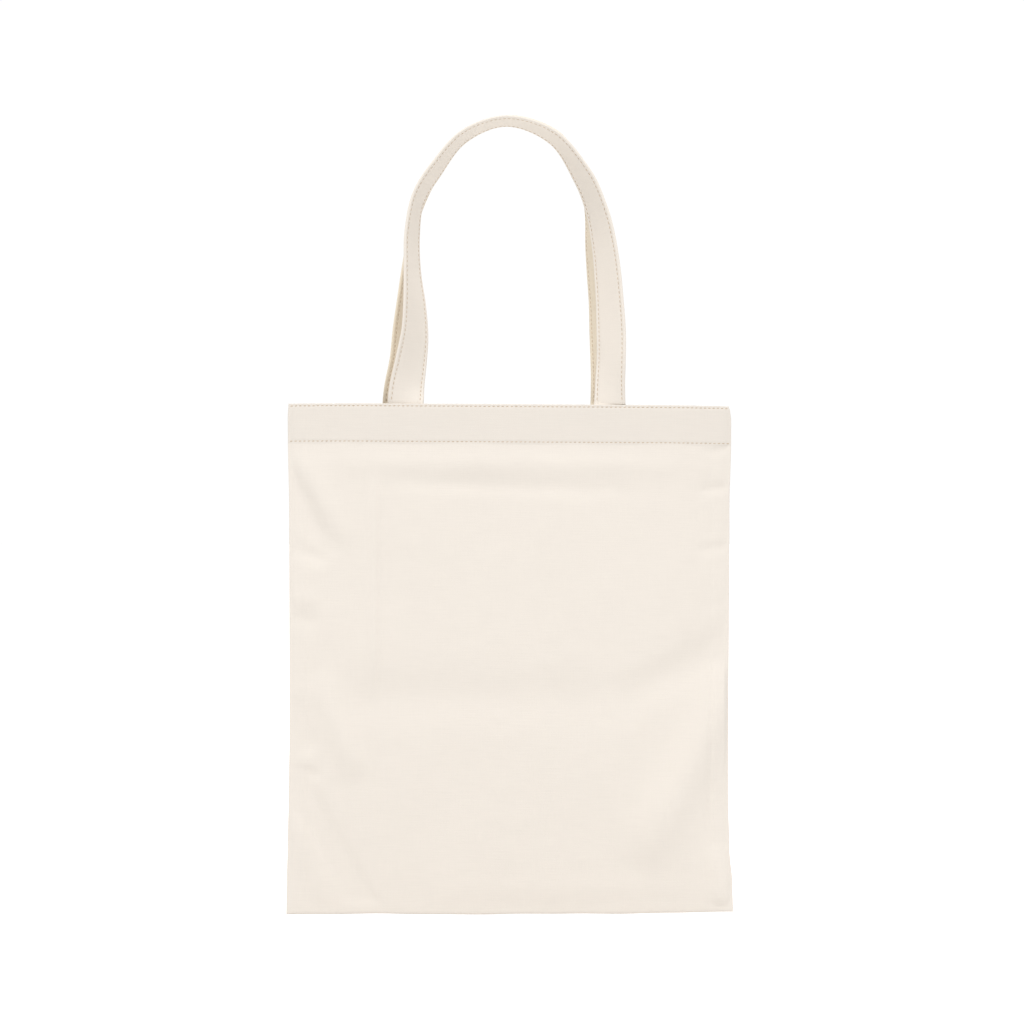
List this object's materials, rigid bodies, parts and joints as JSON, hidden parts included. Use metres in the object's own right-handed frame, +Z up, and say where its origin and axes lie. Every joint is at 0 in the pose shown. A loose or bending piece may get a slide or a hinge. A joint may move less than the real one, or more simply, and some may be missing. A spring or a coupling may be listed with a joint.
{
  "type": "canvas tote bag",
  "caption": "Flat natural canvas tote bag with a turned-in hem, side seams and twisted strap handles that fold outwards; the mouth opens.",
  "frame": {"origin": "bottom centre of the upright bag: the middle of its bottom fold, on the plane of its lowest point", "axes": "+Z up from the bottom fold to the mouth and handles, +X across the width, the front panel faces -Y"},
  "size_m": [0.36, 0.0611, 0.6526],
  "materials": {
    "canvas": "matte plain-weave unbleached cotton canvas",
    "strap_canvas": "matte plain-weave unbleached cotton canvas, folded and pressed",
    "cotton_thread": "matte spun sewing thread",
    "overlock_thread": "matte textured overlock thread"
  },
  "bodies": {
    "bag_base": {"bottom_fold": "canvas", "left_side_seam": "canvas", "left_seam_stitching": "cotton_thread", "left_seam_overlock": "overlock_thread", "right_side_seam": "canvas", "right_seam_stitching": "cotton_thread", "right_seam_overlock": "overlock_thread"},
    "front_wall": {"front_panel": "canvas", "front_hem": "canvas", "front_hem_top_stitching": "cotton_thread", "front_hem_lower_stitching": "cotton_thread", "front_handle_tails": "strap_canvas"},
    "rear_wall": {"rear_panel": "canvas", "rear_hem": "canvas", "rear_hem_top_stitching": "cotton_thread", "rear_hem_lower_stitching": "cotton_thread", "rear_handle_tails": "strap_canvas"},
    "front_strap": {"front_handle": "strap_canvas", "front_handle_stitching": "cotton_thread"},
    "rear_strap": {"rear_handle": "strap_canvas", "rear_handle_stitching": "cotton_thread"}
  },
  "joints": [
    {"name": "front_mouth_open", "type": "hinge", "parent": "bag_base", "child": "front_wall", "pos_m": [0, -0.0021, 0.0025], "axis": [1, 0, 0], "range_deg": [0, 5]},
    {"name": "rear_mouth_open", "type": "hinge", "parent": "bag_base", "child": "rear_wall", "pos_m": [0, 0.0021, 0.0025], "axis": [-1, 0, 0], "range_deg": [0, 5]},
    {"name": "front_handle_fold", "type": "hinge", "parent": "front_wall", "child": "front_strap", "pos_m": [0, -0.013, 0.4186], "axis": [1, 0, 0], "range_deg": [0, 150]},
    {"name": "rear_handle_fold", "type": "hinge", "parent": "rear_wall", "child": "rear_strap", "pos_m": [0, 0.013, 0.4186], "axis": [-1, 0, 0], "range_deg": [0, 150]}
  ]
}
